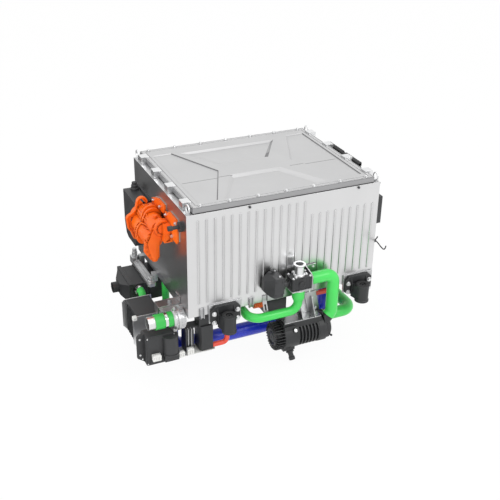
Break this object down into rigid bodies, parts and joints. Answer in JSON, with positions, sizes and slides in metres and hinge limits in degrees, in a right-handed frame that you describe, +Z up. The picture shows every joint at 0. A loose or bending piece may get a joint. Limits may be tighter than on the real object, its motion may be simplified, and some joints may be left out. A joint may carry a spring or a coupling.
{
  "type": "vehicle fuel cell engine",
  "caption": "Ribbed silver fuel cell enclosure on isolator mounts, with pump, air compressor, filter, valve, hoses and coolant pipes around it.",
  "frame": {"origin": "centre of the four isolator bolt holes, at the lower ends of their steel sleeves", "axes": "+X along the enclosure to the right as seen from the front with the compressor, +Y from front to back, +Z up"},
  "size_m": [1.27, 0.9459, 0.9145],
  "materials": {
    "enclosure_aluminium": "satin, bead-blasted",
    "bare_aluminium": "satin",
    "bright_steel": "bright zinc plate",
    "steel": "satin",
    "polished_steel": "polished",
    "black_aluminium": "satin black",
    "black_plastic": "matt",
    "orange_paint": "satin orange",
    "green_rubber": "smooth, slightly glossy",
    "green_sleeve": "smooth",
    "black_rubber": "matt",
    "blue_plastic": "semi-gloss",
    "red_plastic": "semi-gloss",
    "seal": "matt",
    "cell_stack": "matt",
    "copper": "bare copper",
    "board": "lacquered",
    "winding": "enamelled copper",
    "paper": "pleated paper"
  },
  "bodies": {
    "engine": {"enclosure_tub": "enclosure_aluminium", "enclosure_lid": "enclosure_aluminium", "lid_gasket": "seal", "lid_bolts": "bright_steel", "lid_clamps": "bright_steel", "lifting_eyes": "bright_steel", "cell_pack": "cell_stack", "stack_end_plates": "bare_aluminium", "stack_tie_rods": "steel", "current_collectors": "copper", "cell_monitor": "board", "voltage_converter": "bare_aluminium", "isolator_plates": "steel", "isolator_brackets": "black_aluminium", "isolator_bushings": "black_rubber", "isolator_sleeves": "steel", "isolator_bolts": "bright_steel", "pump_back_housing": "orange_paint", "pump_front_housing": "orange_paint", "pump_bolts": "bright_steel", "pump_connector": "black_plastic", "hydrogen_valve_box": "black_plastic", "filter_inlet_cover": "black_plastic", "filter_body": "black_plastic", "filter_element": "paper", "air_duct": "black_plastic", "compressor_housing": "black_aluminium", "compressor_end_cover": "black_aluminium", "compressor_stator": "winding", "compressor_bearings": "steel", "compressor_cable_gland": "black_plastic", "compressor_bracket": "steel", "outlet_hose": "green_rubber", "inlet_hose": "green_rubber", "hose_clamps": "polished_steel", "valve_body": "black_aluminium", "valve_actuator": "black_plastic", "valve_top_fitting": "polished_steel", "valve_bracket": "steel", "lower_hose": "green_rubber", "coolant_port_pipe": "polished_steel", "coolant_coupling": "green_sleeve", "coolant_pump_housing": "bare_aluminium", "coolant_pump_controller": "black_plastic", "main_coolant_pipe": "blue_plastic", "small_coolant_pipes": "red_plastic", "filter_hose": "green_rubber", "coolant_rail": "bare_aluminium", "inverter_box": "black_plastic", "inverter_frame": "bare_aluminium", "relay_boxes": "black_plastic", "heater_box": "black_plastic", "steel_brackets": "steel", "terminal_strip": "black_plastic", "side_box": "black_plastic"},
    "compressor_spool": {"compressor_rotor": "steel"},
    "pump_drive_shaft": {"pump_drive_rotor": "steel"},
    "pump_driven_shaft": {"pump_driven_rotor": "steel"},
    "valve_spindle": {"valve_rotor": "steel"},
    "coolant_impeller": {"coolant_pump_impeller": "black_plastic"}
  },
  "joints": [
    {"name": "compressor_spin", "type": "hinge", "parent": "engine", "child": "compressor_spool", "pos_m": [0.012, -0.4, -0.116], "axis": [1, 0, 0], "continuous": true},
    {"name": "pump_drive_spin", "type": "hinge", "parent": "engine", "child": "pump_drive_shaft", "pos_m": [-0.5975, -0.07, 0.456], "axis": [0, 1, 0], "continuous": true},
    {"name": "pump_driven_spin", "type": "hinge", "parent": "engine", "child": "pump_driven_shaft", "pos_m": [-0.62823, -0.07, 0.40681], "axis": [0, 1, 0], "continuous": true},
    {"name": "valve_turn", "type": "hinge", "parent": "engine", "child": "valve_spindle", "pos_m": [0.002, -0.43, 0.192], "axis": [1, 0, 0], "range_deg": [0, 90]},
    {"name": "coolant_pump_spin", "type": "hinge", "parent": "engine", "child": "coolant_impeller", "pos_m": [-0.568, -0.32, 0.061], "axis": [1, 0, 0], "continuous": true}
  ],
  "couplings": [
    {"joint": "pump_driven_spin", "follows": "pump_drive_spin", "ratio": -1}
  ]
}
